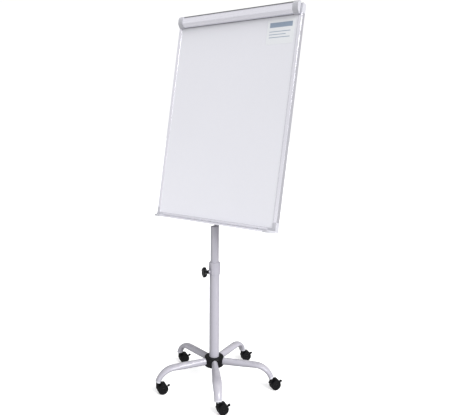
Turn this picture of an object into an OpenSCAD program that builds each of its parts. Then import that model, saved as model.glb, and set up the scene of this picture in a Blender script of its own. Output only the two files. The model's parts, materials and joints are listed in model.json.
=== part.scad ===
// Mobile flip chart easel: a framed writing board on a telescopic column with a five-leg castor base.
// Millimetres. Origin on the floor under the column axis, +X to the viewer's right, the viewer at -Y, +Z up.

/* [Board] */
// Width of the framed board
board_w = 700; // [660:10:760]
// Height of the framed board
board_h = 1000; // [940:10:1060]
// Lean of the board back from vertical, in degrees
board_lean = 11; // [8:0.5:13]
// Height of the board's lower front edge above the floor
board_bottom_z = 822; // [816:1:840]
// Front-to-back depth of the aluminium frame
frame_depth = 26; // [25:0.5:27]
// Width of each frame rail, seen from the front
frame_face = 18; // [17:0.5:20]
// Length of each arm of a plastic corner piece
corner_arm = 42; // [36:1:50]

/* [Paper clamp] */
// Length of the clamp rail, without its end caps' outer plates
clamp_len = 674; // [640:2:676]
// How far the clamp reaches down from the top of the frame
clamp_drop = 48; // [46:1:52]
// Spacing of the two paper hooks
hook_spacing = 280; // [200:10:400]

/* [Pen tray] */
// How far the tray stands out in front of the frame
tray_reach = 31; // [28:1:32]
// Height of the tray's front lip
tray_lip = 7; // [6:1:12]
// Length of each tray end cap
tray_cap_len = 45; // [44:1:60]

/* [Column] */
// Outer diameter of the lower tube
lower_tube_d = 48; // [47:0.5:50]
// Outer diameter of the upper tube
upper_tube_d = 40; // [38:0.5:41]
// Height of the lower tube's top end
lower_tube_top = 620; // [560:10:640]
// Outer diameter of the collar
collar_d = 55; // [54:0.5:60]
// Direction that the height knob points in, in degrees anticlockwise from +X
knob_heading = 235; // [200:5:260]
// Diameter of the height knob
knob_d = 50; // [40:1:56]

/* [Base] */
// Distance from the column axis to each castor stem
leg_reach = 288; // [280:1:320]
// Height of the level part of each leg's centreline
leg_level_z = 123; // [121:1:126]
// Radius of each leg's bend down to its castor
leg_bend_r = 84; // [80:1:88]
// Direction of the first leg, in degrees anticlockwise from +X
first_leg_heading = -49; // [-60:1:-40]
// Diameter of the hub cover
hub_d = 96; // [90:1:104]

/* [Castors] */
// Wheel diameter
wheel_d = 50; // [48:1:51]
// Width over the two wheels of a castor
castor_w = 35; // [34:0.5:40]
// Distance from the stem to the wheel axle
castor_trail = 22.5; // [21:0.5:24]
// Direction in which the castors trail, in degrees anticlockwise from +X
castor_heading = 60; // [40:5:80]

/* [Hidden] */
LEGS = 5;

$fn = 48;

// Colours
paint_grey = [0.80, 0.79, 0.84];
lacquer_white = [0.91, 0.91, 0.94];
alu_grey = [0.82, 0.82, 0.85];
plastic_grey = [0.86, 0.86, 0.88];
black = [0.12, 0.12, 0.13];
steel_grey = [0.62, 0.63, 0.66];

// Fits: running for shafts that turn or slide, slack for screws and covers
running = 0.08;
slack = 0.3;

// Column
tube_wall = 1.5;
lower_r = lower_tube_d / 2;
upper_r = upper_tube_d / 2;
lower_bore_r = lower_r - tube_wall;
upper_bore_r = upper_r - tube_wall;
upper_tube_foot = 316;
upper_tube_top = 796;
collar_h = 58;
collar_top = lower_tube_top + 6;
bush_h = 60;
screw_r = 4;
knob_z = collar_top - collar_h + 11;
knob_neck_from = collar_d / 2 + 5;
knob_neck_len = 10;
knob_head_t = 18;

// Hub
hub_top = leg_level_z + 23;
hub_foot = leg_level_z - 19;
hub_wall = 2.5;
core_r = 33;
core_half_h = 17;
core_floor_t = 5;
lower_tube_foot = leg_level_z - core_half_h + core_floor_t;
cap_t = 4;

// Legs: [place along the leg from 0 to 1, width, thickness] of the oval tube
LEG_SECTIONS = [[0, 29, 36], [0.42, 38, 33], [0.68, 44, 27], [1, 34.5, 24]];
leg_root_r = core_r + 0.2;
leg_wall = 2;
leg_sides = 16;
leg_rings = 22;
leg_end_angle = 68;
// Flange of the plug that closes a leg's end
plug_flange_t = 7;
leg_end_r = leg_reach - plug_flange_t * cos(leg_end_angle);
leg_bend_from = leg_end_r - leg_bend_r * sin(leg_end_angle);
leg_level_len = leg_bend_from - leg_root_r;
leg_len = leg_level_len + leg_bend_r * leg_end_angle * PI / 180;
leg_end_z = leg_level_z - leg_bend_r * (1 - cos(leg_end_angle));

// Castors
axle_r = 3;
axle_z = wheel_d / 2;
wheel_t = 12;
web_t = castor_w - 2 * wheel_t - 1;
hood_r = wheel_d / 2 + 4;
hood_gap = 1.3;
stem_top = leg_end_z + 3;
stem_foot = 33;
hood_top = leg_end_z - plug_flange_t * sin(leg_end_angle) - 3;
// Brake lever's pivot, from the wheel axle: back and up
brake_pivot = [17, 7];
brake_pin_r = 2;
brake_arm_t = 5;

// Board stack, measured back from the frame's front plane
board_front_y = -29;
face_from = 2;
face_t = 0.6;
core_t = 8;
back_t = 0.4;
panel_t = face_t + core_t + back_t;
panel_inset = 6;
rail_wall = 1.6;
corner_proud = 0.6;

// Tilt head: pivot measured from the frame's front lower edge, back and up the board
pivot_back = 44;
pivot_up = 32;
pivot_y = board_front_y + pivot_back * cos(board_lean) + pivot_up * sin(board_lean);
pivot_z = board_bottom_z - pivot_back * sin(board_lean) + pivot_up * cos(board_lean);
lug_r = 14;
lug_w = 15;
cheek_gap = 0.5;
cheek_t = 4;
plate_t = 3;
bolt_r = 4;

// Clamp, in board axes: back from the frame's front plane, up from the frame's top
clamp_curve_c = [-3, -14.5];
clamp_curve_r = 22.5;
clamp_wall = 1.8;
clamp_crease_back = -24;
clamp_foot_back = -8;
clamp_mouth_back = -2.5;
clamp_pivot = [-4, 1];
rod_r = 2;
knuckle_r = 3.3;
cap_skin = 1.2;
cap_len = 28;
cap_plate_t = 2.5;

// Hook rail and hooks, in board axes from the frame's top
hook_rail_up = -40;
hook_rail_h = 16;
hook_rail_t = 4;
hook_rail_len = 640;
slot_neck = 4;
slot_head = 8;
peg_r = 3;
peg_tip_back = -15;

// Tray, in board axes
tray_t = 1.8;
tray_foot = -3.4;
tray_back = -corner_proud - 0.1;
tray_back_h = 14;
bead_r = 1.6;
// Half the length over the end caps, and how far the aluminium reaches into a cap
tray_half = board_w / 2 - 1.2;
tray_seat = 15;

// ---------- helpers ----------

// Board axes: X right, Y back from the frame's front plane, Z up the board from its lower edge
module on_board() {
    translate([0, board_front_y, board_bottom_z])
        rotate([-board_lean, 0, 0])
            children();
}

// Board axes with Z counted from the frame's top edge
module on_board_top() {
    on_board() translate([0, 0, board_h]) children();
}

// Sweeps a 2D shape drawn in [back, up] along X, centred
module along_x(length) {
    translate([-length / 2, 0, 0])
        rotate([90, 0, 90])
            linear_extrude(height = length)
                children();
}

// Lays a cylinder along X, centred
module x_cylinder(r, length) {
    rotate([0, 90, 0]) cylinder(r = r, h = length, center = true);
}

// Places children at the end of leg k, with X pointing outwards
module at_leg(k) {
    rotate([0, 0, first_leg_heading + 360 / LEGS * (k - 1)]) children();
}

// Places children in castor k's axes: stem on Z, X pointing where it trails
module at_castor(k) {
    heading = first_leg_heading + 360 / LEGS * (k - 1);
    translate([leg_reach * cos(heading), leg_reach * sin(heading), 0])
        rotate([0, 0, castor_heading])
            children();
}

function ellipse(w, h, sides) =
    [for (i = [0 : sides - 1]) let(a = 360 * i / sides) [w / 2 * cos(a), h / 2 * sin(a)]];

function arc(centre, r, from, to, steps) =
    [for (i = [0 : steps]) let(a = from + (to - from) * i / steps) centre + r * [cos(a), sin(a)]];

// A round-cornered rectangle from the origin
function round_rect(w, h, r) = concat(
    arc([w - r, r], r, -90, 0, 4), arc([w - r, h - r], r, 0, 90, 4),
    arc([r, h - r], r, 90, 180, 4), arc([r, r], r, 180, 270, 4));

// A lobed hand knob on +Z, its neck starting at the origin
module lobed_knob(d, neck_r, neck_len, head_t) {
    lobe_r = d * 0.17;
    lobes = 6;
    cylinder(r = neck_r, h = neck_len + 0.5);
    translate([0, 0, neck_len]) {
        cylinder(r = d / 2 - lobe_r, h = head_t);
        for (i = [0 : lobes - 1])
            rotate([0, 0, 360 / lobes * i])
                translate([d / 2 - lobe_r, 0, 0])
                    cylinder(r = lobe_r, h = head_t);
    }
}

// ---------- hub ----------

module hub_core() {
    color(steel_grey)
        translate([0, 0, leg_level_z - core_half_h])
            difference() {
                cylinder(r = core_r, h = 2 * core_half_h);
                translate([0, 0, core_floor_t]) cylinder(r = lower_r + 0.05, h = 2 * core_half_h);
                translate([0, 0, -1]) cylinder(r = screw_r + 0.05, h = core_floor_t + 2);
            }
}

module hub_cover() {
    r = hub_d / 2;
    shoulder = 7;
    window_w = LEG_SECTIONS[0][1] + 1.4;
    window_h = LEG_SECTIONS[0][2] + 1.2;
    outer = concat([[0, hub_foot], [r - 1, hub_foot], [r, hub_foot + 3]],
                   arc([r - shoulder, hub_top - shoulder], shoulder, 0, 90, 8), [[0, hub_top]]);
    inner_r = r - hub_wall;
    inner = concat([[0, hub_foot - 1], [inner_r, hub_foot - 1]],
                   arc([r - shoulder, hub_top - shoulder], shoulder - hub_wall, 0, 90, 8),
                   [[0, hub_top - hub_wall]]);
    color(black)
        difference() {
            rotate_extrude() polygon(outer);
            rotate_extrude() polygon(inner);
            translate([0, 0, hub_foot]) cylinder(r = lower_r + slack, h = hub_top);
            for (k = [1 : LEGS])
                at_leg(k) {
                    translate([core_r, 0, leg_level_z])
                        rotate([90, 0, 90])
                            linear_extrude(height = hub_d)
                                polygon(ellipse(window_w, window_h, 32));
                    translate([core_r, -window_w / 2, hub_foot - 1])
                        cube([hub_d, window_w, leg_level_z - hub_foot + 1]);
                }
        }
}

module hub_cap() {
    color(black)
        translate([0, 0, hub_foot - cap_t - 0.3])
            difference() {
                union() {
                    cylinder(r1 = hub_d / 2 - 2, r2 = hub_d / 2, h = 2);
                    translate([0, 0, 2]) cylinder(r = hub_d / 2, h = cap_t - 2);
                }
                translate([0, 0, -1]) cylinder(r = screw_r + slack, h = cap_t + 2);
            }
}

module hub_bolt() {
    head_h = 5;
    underside = hub_foot - cap_t - 0.3;
    color(steel_grey) {
        translate([0, 0, underside - head_h]) cylinder(r = 7.5, h = head_h, $fn = 6);
        translate([0, 0, underside - 0.5]) cylinder(r = screw_r, h = 18);
    }
}

// ---------- legs ----------

// Slope of the leg's centreline at a distance along it, in degrees down from level
function leg_slope(s) = s <= leg_level_len ? 0 : (s - leg_level_len) / leg_bend_r * 180 / PI;

// Centreline as [out from the column, height]
function leg_centre(s) = s <= leg_level_len
    ? [leg_root_r + s, leg_level_z]
    : [leg_bend_from + leg_bend_r * sin(leg_slope(s)),
       leg_level_z - leg_bend_r * (1 - cos(leg_slope(s)))];

function ease(t) = (1 - cos(180 * t)) / 2;

// Width or thickness of the oval at a share of the leg's length
function leg_size(share, which, i = 0) =
    share <= LEG_SECTIONS[i + 1][0] || i == len(LEG_SECTIONS) - 2
    ? let(a = LEG_SECTIONS[i], b = LEG_SECTIONS[i + 1], t = min(1, (share - a[0]) / (b[0] - a[0])))
      a[which] + (b[which] - a[which]) * ease(t)
    : leg_size(share, which, i + 1);

function leg_ring(s, inset) =
    let(c = leg_centre(s), slope = leg_slope(s),
        half_w = leg_size(s / leg_len, 1) / 2 - inset,
        half_t = leg_size(s / leg_len, 2) / 2 - inset)
    [for (i = [0 : leg_sides - 1])
        let(a = 360 * i / leg_sides, side = half_w * cos(a), out = half_t * sin(a))
        [c[0] + out * sin(slope), side, c[1] + out * cos(slope)]];

// Faces of one skin of the tube, flipped for its inner skin
function skin_faces(first, flip) =
    [for (j = [0 : leg_rings - 2], i = [0 : leg_sides - 1])
        let(a = first + j * leg_sides + i, b = first + j * leg_sides + (i + 1) % leg_sides,
            c = b + leg_sides, d = a + leg_sides)
        each flip ? [[a, b, c], [a, c, d]] : [[a, c, b], [a, d, c]]];

// Ring of faces that closes the wall at one end
function end_faces(outer, inner, flip) =
    [for (i = [0 : leg_sides - 1])
        let(n = (i + 1) % leg_sides)
        each flip ? [[outer + i, outer + n, inner + n], [outer + i, inner + n, inner + i]]
                  : [[outer + i, inner + n, outer + n], [outer + i, inner + i, inner + n]]];

module leg(k) {
    stations = [for (j = [0 : leg_rings - 1]) leg_len * j / (leg_rings - 1)];
    outer = [for (s = stations) each leg_ring(s, 0)];
    inner = [for (s = stations) each leg_ring(s, leg_wall)];
    count = len(outer);
    last = (leg_rings - 1) * leg_sides;
    color(paint_grey)
        at_leg(k)
            polyhedron(points = concat(outer, inner),
                       faces = concat(skin_faces(0, true), skin_faces(count, false),
                                      end_faces(0, count, false), end_faces(last, count + last, true)));
}

module leg_plugs() {
    plug_len = 9;
    fit_in = 2 * leg_wall + 2;
    end_w = LEG_SECTIONS[3][1];
    end_t = LEG_SECTIONS[3][2];
    color(plastic_grey)
        for (k = [1 : LEGS])
            at_leg(k)
                difference() {
                    translate([leg_end_r, 0, leg_end_z])
                        rotate([0, leg_end_angle - 90, 0]) {
                            translate([0, 0, -plug_flange_t])
                                linear_extrude(height = plug_flange_t - 0.05)
                                    polygon(ellipse(end_t, end_w, 32));
                            translate([0, 0, -0.1])
                                linear_extrude(height = plug_len)
                                    polygon(ellipse(end_t - fit_in, end_w - fit_in, 32));
                        }
                    translate([leg_reach, 0, stem_foot])
                        cylinder(r = screw_r + 0.02, h = stem_top + 0.3 - stem_foot);
                    // flat seat for the castor's flange
                    translate([leg_reach, 0, stem_foot])
                        cylinder(r = end_w, h = hood_top + 1.3 - stem_foot);
                }
}

// ---------- castors ----------

module castor_stems() {
    flange_r = 8;
    color(steel_grey)
        for (k = [1 : LEGS])
            at_castor(k) {
                translate([0, 0, stem_foot]) cylinder(r = screw_r, h = stem_top - stem_foot);
                translate([0, 0, hood_top + 0.3]) cylinder(r = flange_r, h = 0.9);
            }
}

// Lays a cylinder along the castor's axle, centred on it
module on_axle(r, length) {
    translate([castor_trail, 0, axle_z]) rotate([90, 0, 0]) cylinder(r = r, h = length, center = true);
}

module castor_hood(k) {
    shell_w = castor_w;
    pocket_w = wheel_t + 0.5;
    boss_r = 9.5;
    slot_w = brake_arm_t + 1;
    color(black)
        at_castor(k) {
            difference() {
                union() {
                    intersection() {
                        on_axle(hood_r, shell_w);
                        translate([castor_trail - hood_r - 1, -shell_w / 2, axle_z + 6])
                            cube([hood_r + 16, shell_w, hood_r]);
                    }
                    on_axle(hood_r - 6, web_t);
                    translate([0, 0, stem_foot]) cylinder(r = boss_r, h = hood_top - stem_foot);
                }
                for (side = [-1, 1])
                    translate([castor_trail, side * (web_t + pocket_w) / 2, axle_z])
                        rotate([90, 0, 0])
                            cylinder(r = wheel_d / 2 + hood_gap, h = pocket_w, center = true);
                translate([0, 0, stem_foot - 0.5]) cylinder(r = screw_r + running, h = 40);
                // slot for the brake arm
                translate([castor_trail + 7, -slot_w / 2, axle_z - 14]) cube([40, slot_w, 60]);
            }
            on_axle(axle_r, castor_w - 2);
            translate([brake_pivot[0], 0, brake_pivot[1]]) on_axle(brake_pin_r, web_t);
        }
}

module castor_wheels(k) {
    tread = wheel_d / 2;
    half = web_t / 2 + 0.5;
    color(black)
        at_castor(k)
            translate([castor_trail, 0, axle_z])
                for (side = [-1, 1])
                    rotate([90 * side, 0, 0])
                        translate([0, 0, half])
                            rotate_extrude($fn = 64)
                                polygon([[axle_r + running, 0], [tread - 1.5, 0], [tread, 1.5],
                                         [tread, wheel_t - 3], [tread - 2, wheel_t - 1],
                                         [tread - 5, wheel_t - 0.5], [tread - 7, wheel_t - 2],
                                         [9, wheel_t - 2], [8, wheel_t - 1],
                                         [axle_r + running, wheel_t - 1]]);
}

module castor_brake(k) {
    pedal_w = 14;
    pedal_len = 12;
    pedal_t = 4;
    eye_r = 4;
    slope = 27;
    color(black)
        at_castor(k)
            translate([castor_trail + brake_pivot[0], 0, axle_z + brake_pivot[1]])
                difference() {
                    union() {
                        rotate([90, 0, 0]) cylinder(r = eye_r, h = brake_arm_t, center = true);
                        rotate([0, -slope * 0.4, 0])
                            translate([0, -brake_arm_t / 2, -3]) cube([12, brake_arm_t, 5]);
                        translate([9, 0, 2])
                            rotate([0, -slope, 0])
                                translate([0, -pedal_w / 2, -pedal_t / 2])
                                    linear_extrude(height = pedal_t)
                                        polygon(round_rect(pedal_len, pedal_w, 3));
                    }
                    rotate([90, 0, 0]) cylinder(r = brake_pin_r + running, h = castor_w, center = true);
                }
}

// ---------- column ----------

// Places children on the height knob's axis, with Z pointing outwards from the column axis
module on_knob_axis() {
    rotate([0, 0, knob_heading]) translate([0, 0, knob_z]) rotate([0, 90, 0]) children();
}

module lower_tube() {
    color(paint_grey)
        difference() {
            translate([0, 0, lower_tube_foot])
                cylinder(r = lower_r, h = lower_tube_top - lower_tube_foot, $fn = 96);
            translate([0, 0, lower_tube_foot - 1]) cylinder(r = lower_bore_r, h = lower_tube_top, $fn = 96);
            on_knob_axis() translate([0, 0, upper_r]) cylinder(r = screw_r + slack, h = 10);
        }
}

module guide_bush() {
    color(plastic_grey)
        difference() {
            translate([0, 0, lower_tube_top - bush_h]) cylinder(r = lower_bore_r - 0.05, h = bush_h);
            translate([0, 0, lower_tube_top - bush_h - 1]) cylinder(r = upper_r + running, h = bush_h + 2);
            on_knob_axis() translate([0, 0, upper_r - 2]) cylinder(r = screw_r + slack, h = 10);
        }
}

module collar() {
    boss_r = 11;
    r = collar_d / 2;
    foot = collar_top - collar_h;
    outer = concat([[0, foot], [r - 1.2, foot], [r, foot + 1.2]],
                   arc([r - 3, collar_top - 3], 3, 0, 90, 6), [[0, collar_top]]);
    color(paint_grey)
        difference() {
            union() {
                rotate_extrude($fn = 96) polygon(outer);
                on_knob_axis() translate([0, 0, lower_r]) cylinder(r = boss_r, h = r + 3.5 - lower_r);
            }
            translate([0, 0, foot - 1]) cylinder(r = lower_r + 0.05, h = collar_h - 4.8, $fn = 96);
            cylinder(r = upper_r + 0.6, h = collar_top + 1);
            on_knob_axis() translate([0, 0, upper_r]) cylinder(r = screw_r + 0.05, h = 20);
        }
}

module height_knob() {
    color(black)
        on_knob_axis()
            translate([0, 0, knob_neck_from])
                difference() {
                    lobed_knob(knob_d, 8.5, knob_neck_len, knob_head_t);
                    translate([0, 0, -1]) cylinder(r = screw_r, h = 16);
                }
}

module height_screw() {
    color(steel_grey)
        on_knob_axis()
            translate([0, 0, upper_r + 0.4])
                cylinder(r = screw_r, h = knob_neck_from + 15 - upper_r - 0.4);
}

module mast_foot() {
    spigot_len = 30;
    color(black)
        translate([0, 0, upper_tube_foot]) {
            translate([0, 0, -12]) cylinder(r = lower_bore_r - running, h = 12);
            translate([0, 0, -0.5]) cylinder(r = upper_bore_r - running, h = spigot_len);
        }
}

module upper_tube() {
    foot = upper_tube_foot + slack;
    color(paint_grey)
        difference() {
            translate([0, 0, foot]) cylinder(r = upper_r, h = upper_tube_top - foot, $fn = 96);
            translate([0, 0, foot - 1]) cylinder(r = upper_bore_r, h = upper_tube_top, $fn = 96);
        }
}

module mast_head() {
    plug_len = 36;
    flange_t = 5;
    shelf = 806;
    color(paint_grey)
        difference() {
            union() {
                translate([0, 0, upper_tube_top - plug_len])
                    cylinder(r = upper_bore_r - 0.05, h = plug_len + 1);
                translate([0, 0, upper_tube_top]) cylinder(r = upper_r + 0.5, h = flange_t);
                along_x(lug_w)
                    polygon([[-16, upper_tube_top], [upper_r, upper_tube_top],
                             [pivot_y + lug_r, upper_tube_top + 22], [pivot_y + lug_r, pivot_z],
                             [pivot_y - lug_r, pivot_z], [pivot_y - lug_r, shelf], [-16, shelf - 3]]);
                translate([0, pivot_y, pivot_z]) x_cylinder(lug_r, lug_w);
            }
            translate([0, pivot_y, pivot_z]) x_cylinder(bolt_r + running, lug_w + 2);
        }
}

// ---------- tilt head, board side ----------

module tilt_bracket() {
    foot_w = 90;
    foot_h = 13;
    tongue_w = 34;
    tongue_top = 130;
    low = 3;
    color(paint_grey)
        on_board()
            difference() {
                union() {
                    translate([-foot_w / 2, frame_depth, low]) cube([foot_w, plate_t, foot_h]);
                    translate([-tongue_w / 2, frame_depth, low]) cube([tongue_w, plate_t, tongue_top - low]);
                    for (side = [-1, 1])
                        translate([side * (lug_w / 2 + cheek_gap + cheek_t / 2), 0, 0]) {
                            along_x(cheek_t)
                                polygon([[frame_depth + 1, 8], [pivot_back, pivot_up - lug_r],
                                         [pivot_back + lug_r * 0.8, pivot_up + lug_r * 0.6],
                                         [frame_depth + 1, 74]]);
                            translate([0, pivot_back, pivot_up]) x_cylinder(lug_r, cheek_t);
                        }
                }
                translate([0, pivot_back, pivot_up]) x_cylinder(bolt_r + 0.02, 60);
            }
}

module tilt_bolt() {
    grip = lug_w / 2 + cheek_gap + cheek_t;
    color(steel_grey)
        on_board()
            translate([0, pivot_back, pivot_up])
                rotate([0, 90, 0]) {
                    translate([0, 0, -grip - 5.5]) cylinder(r = 7, h = 5.5, $fn = 6);
                    translate([0, 0, -grip - 0.5]) cylinder(r = bolt_r, h = 2 * grip + 14);
                }
}

module tilt_knob() {
    neck_from = lug_w / 2 + cheek_gap + cheek_t + slack;
    color(black)
        on_board()
            translate([neck_from, pivot_back, pivot_up])
                rotate([0, 90, 0])
                    difference() {
                        lobed_knob(33, 8, 6, 14);
                        translate([0, 0, -1]) cylinder(r = bolt_r + running, h = 16);
                    }
}

module bracket_screws() {
    color(steel_grey)
        on_board()
            for (spot = [[-36, 9], [36, 9], [0, 86], [0, 116]])
                translate([spot[0], frame_depth + plate_t, spot[1]])
                    rotate([-90, 0, 0]) cylinder(r1 = 4.5, r2 = 3.2, h = 2.4);
}

module spine() {
    w = 50;
    t = 1.5;
    back = face_from + panel_t + 0.2;
    depth = frame_depth - back;
    from = frame_face + 0.2;
    length = board_h - 2 * from;
    color(alu_grey)
        on_board()
            translate([-w / 2, back, from])
                difference() {
                    cube([w, depth, length]);
                    translate([t, -1, -1]) cube([w - 2 * t, depth - t + 1, length + 2]);
                }
}

// ---------- board ----------

// One layer of the writing panel, held in the frame's groove
module panel_layer(from, t) {
    w = board_w - 2 * (frame_face - panel_inset);
    h = board_h - 2 * (frame_face - panel_inset);
    on_board()
        translate([-w / 2, from, frame_face - panel_inset])
            cube([w, t, h]);
}

module board_face() {
    color(lacquer_white) panel_layer(face_from, face_t);
}

module board_core() {
    color([0.72, 0.66, 0.56]) panel_layer(face_from + face_t, core_t);
}

module back_sheet() {
    color(alu_grey) panel_layer(face_from + face_t + core_t, back_t);
}

// Frame section: X in from the outer edge, Y back from the front plane
module frame_section(grow = 0, hollow = true) {
    groove_t = panel_t + 0.1;
    chamber_from = face_from + groove_t + rail_wall;
    difference() {
        translate([-grow, -grow]) polygon(round_rect(frame_face + 2 * grow, frame_depth + 2 * grow, 2.5));
        translate([frame_face - panel_inset - 0.05, face_from - 0.05])
            square([frame_face, groove_t]);
        if (hollow)
            translate([rail_wall, chamber_from])
                square([frame_face - 2 * rail_wall, frame_depth - chamber_from - rail_wall]);
    }
}

module side_rail() {
    translate([0, 0, corner_arm])
        linear_extrude(height = board_h - 2 * corner_arm)
            frame_section();
}

module cross_rail() {
    along_x(board_w - 2 * corner_arm)
        mirror([1, -1, 0]) frame_section();
}

module rail_left() {
    color(alu_grey) on_board() translate([-board_w / 2, 0, 0]) side_rail();
}

module rail_right() {
    color(alu_grey) on_board() mirror([1, 0, 0]) translate([-board_w / 2, 0, 0]) side_rail();
}

module rail_bottom() {
    color(alu_grey) on_board() cross_rail();
}

module rail_top() {
    color(alu_grey) on_board_top() mirror([0, 0, 1]) cross_rail();
}

// Corner piece at the board's lower left corner
module corner_piece() {
    arm = corner_arm - 0.1;
    translate([-board_w / 2, 0, 0]) {
        linear_extrude(height = arm) frame_section(corner_proud, false);
        translate([arm, 0, 0])
            rotate([0, -90, 0])
                linear_extrude(height = arm)
                    frame_section(corner_proud, false);
    }
}

module corner_pair() {
    corner_piece();
    mirror([1, 0, 0]) corner_piece();
}

module bottom_corners() {
    color(plastic_grey) on_board() corner_pair();
}

module top_corners() {
    color(plastic_grey) on_board_top() mirror([0, 0, 1]) corner_pair();
}

// ---------- pen tray ----------

// Tray section in [back, up]: a leg on the frame, a floor and a front lip with a bead
module tray_section(grow = 0) {
    wall = tray_t + 2 * grow;
    translate([-tray_reach - grow, tray_foot - grow]) square([tray_reach + tray_back + 2 * grow, wall]);
    translate([tray_back - tray_t - grow, tray_foot - grow]) square([wall, tray_back_h + 2 * grow]);
    translate([-tray_reach - grow, tray_foot - grow]) square([wall, tray_lip + grow]);
    translate([-tray_reach + bead_r, tray_foot + tray_lip]) circle(r = bead_r + grow, $fn = 24);
}

module tray() {
    color(alu_grey) on_board() along_x(2 * (tray_half - tray_cap_len + tray_seat - 0.1)) tray_section();
}

// Right end cap in plan, as [X, back], its front corner rounded
function cap_plan(from, to, front, back, r) =
    concat([[from, front]], arc([to - r, front + r], r, -90, 0, 10), [[to, back], [from, back]]);

module tray_caps() {
    skin = 1.1;
    end_t = 2.4;
    corner_r = tray_reach - 3;
    from = tray_half - tray_cap_len;
    front = -tray_reach - skin;
    foot = tray_foot - skin;
    top = tray_foot + tray_lip + bead_r + skin;
    floor_z = tray_foot + tray_t - 0.2;
    color(plastic_grey)
        on_board()
            for (side = [0, 1])
                mirror([side, 0, 0])
                    difference() {
                        translate([0, 0, foot])
                            linear_extrude(height = top - foot)
                                polygon(cap_plan(from, tray_half, front, tray_back, corner_r));
                        translate([0, 0, floor_z])
                            linear_extrude(height = top)
                                polygon(cap_plan(from - 1, tray_half - end_t, front + 2.7,
                                                 tray_back - tray_t, corner_r - end_t));
                        // seat for the end of the aluminium section
                        translate([from, 0, 0]) along_x(2 * tray_seat) tray_section(0.05);
                    }
}

module tray_screws() {
    color(steel_grey)
        on_board()
            for (x = [-260, 0, 260])
                translate([x, -corner_proud - tray_t - 0.1, 6])
                    rotate([90, 0, 0]) cylinder(r1 = 3.5, r2 = 2.4, h = 1.8);
}

// ---------- paper holder ----------

module hook_rail() {
    color(alu_grey)
        on_board_top()
            along_x(hook_rail_len)
                translate([face_from - hook_rail_t - 0.05, hook_rail_up])
                    difference() {
                        square([hook_rail_t, hook_rail_h]);
                        translate([-1, (hook_rail_h - slot_neck) / 2]) square([3, slot_neck]);
                        translate([1.2, (hook_rail_h - slot_head) / 2]) square([2, slot_head]);
                    }
}

module paper_hook(side) {
    mid = hook_rail_up + hook_rail_h / 2;
    rail_front = face_from - hook_rail_t - 0.05;
    pad = 14;
    color(black)
        on_board_top()
            translate([side * hook_spacing / 2, rail_front, mid]) {
                translate([-pad / 2, 1.4, -slot_head / 2 + 0.4]) cube([pad, 1.5, slot_head - 0.8]);
                translate([-pad / 2, -0.5, -slot_neck / 2 + 0.4]) cube([pad, 2, slot_neck - 0.8]);
                translate([-pad / 2, -2.8, -pad / 2]) cube([pad, 2.4, pad]);
                translate([0, -1, 0])
                    rotate([90, 0, 0]) cylinder(r = peg_r, h = rail_front - 1 - peg_tip_back);
            }
}

module hook_left() {
    paper_hook(-1);
}

module hook_right() {
    paper_hook(1);
}

module clamp_brackets() {
    w = 12;
    plate_h = 1.2;
    color(alu_grey)
        on_board_top()
            for (x = [-240, 0, 240])
                translate([x, 0, 0])
                    difference() {
                        union() {
                            translate([-w / 2, clamp_pivot[0], 0.02]) cube([w, 22, plate_h]);
                            translate([0, clamp_pivot[0], clamp_pivot[1]]) x_cylinder(knuckle_r, w);
                            translate([-w / 2, -1.5, -8]) cube([w, 1.45, 9]);
                        }
                        translate([0, clamp_pivot[0], clamp_pivot[1]]) x_cylinder(rod_r + running, w + 2);
                    }
}

// Clamp section as a band between two outlines, in [back, up] from the frame's top:
// a round shoulder, a flat down to a crease, and a slant back to the foot
function clamp_shoulder(inset) = arc(clamp_curve_c, clamp_curve_r - inset, 90, 180, 12);

function clamp_crease(inset) = [clamp_crease_back + 0.97 * inset, -clamp_drop + 15 + 0.44 * inset];

function clamp_heel(inset) =
    [[clamp_foot_back - 3.5 + 0.62 * inset, -clamp_drop + 2 + 0.8 * inset],
     [clamp_foot_back + 0.27 * inset, -clamp_drop + inset],
     [clamp_mouth_back, -clamp_drop + inset]];

function clamp_outline(inset) =
    concat(clamp_shoulder(inset), [clamp_crease(inset)], clamp_heel(inset));

function reversed(list) = [for (i = [len(list) - 1 : -1 : 0]) list[i]];

module clamp_rail() {
    gap = [0, 0.04];
    color(alu_grey)
        on_board_top()
            along_x(clamp_len)
                polygon(concat(clamp_shoulder(0), [clamp_crease(0) + gap, clamp_crease(clamp_wall) + gap],
                               reversed(clamp_shoulder(clamp_wall))));
}

// Gripping lip, fixed along the rail's lower edge
module clamp_lip() {
    color(alu_grey)
        on_board_top()
            along_x(clamp_len)
                polygon(concat([clamp_crease(0)], clamp_heel(0), reversed(clamp_heel(clamp_wall)),
                               [clamp_crease(clamp_wall)]));
}

module clamp_caps() {
    half = clamp_len / 2;
    color(plastic_grey)
        on_board_top()
            difference() {
                for (side = [-1, 1]) {
                    translate([side * (half + cap_plate_t - cap_len / 2), 0, 0])
                        along_x(cap_len)
                            polygon(concat(clamp_outline(-cap_skin), reversed(clamp_outline(-0.03))));
                    translate([side * (half + cap_plate_t / 2 + 0.05), 0, 0])
                        along_x(cap_plate_t)
                            polygon(concat(clamp_outline(-cap_skin), [[clamp_mouth_back, clamp_curve_c[1]]]));
                }
                translate([0, clamp_pivot[0], clamp_pivot[1]]) x_cylinder(rod_r, clamp_len + 20);
            }
}

module clamp_strip() {
    color(black)
        on_board_top()
            along_x(clamp_len - 2 * cap_len)
                translate([clamp_mouth_back + 0.05, -clamp_drop]) square([3.6, 4.5]);
}

module clamp_rod() {
    color(steel_grey)
        on_board_top()
            translate([0, clamp_pivot[0], clamp_pivot[1]])
                x_cylinder(rod_r, clamp_len + 2 * cap_plate_t);
}

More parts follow.
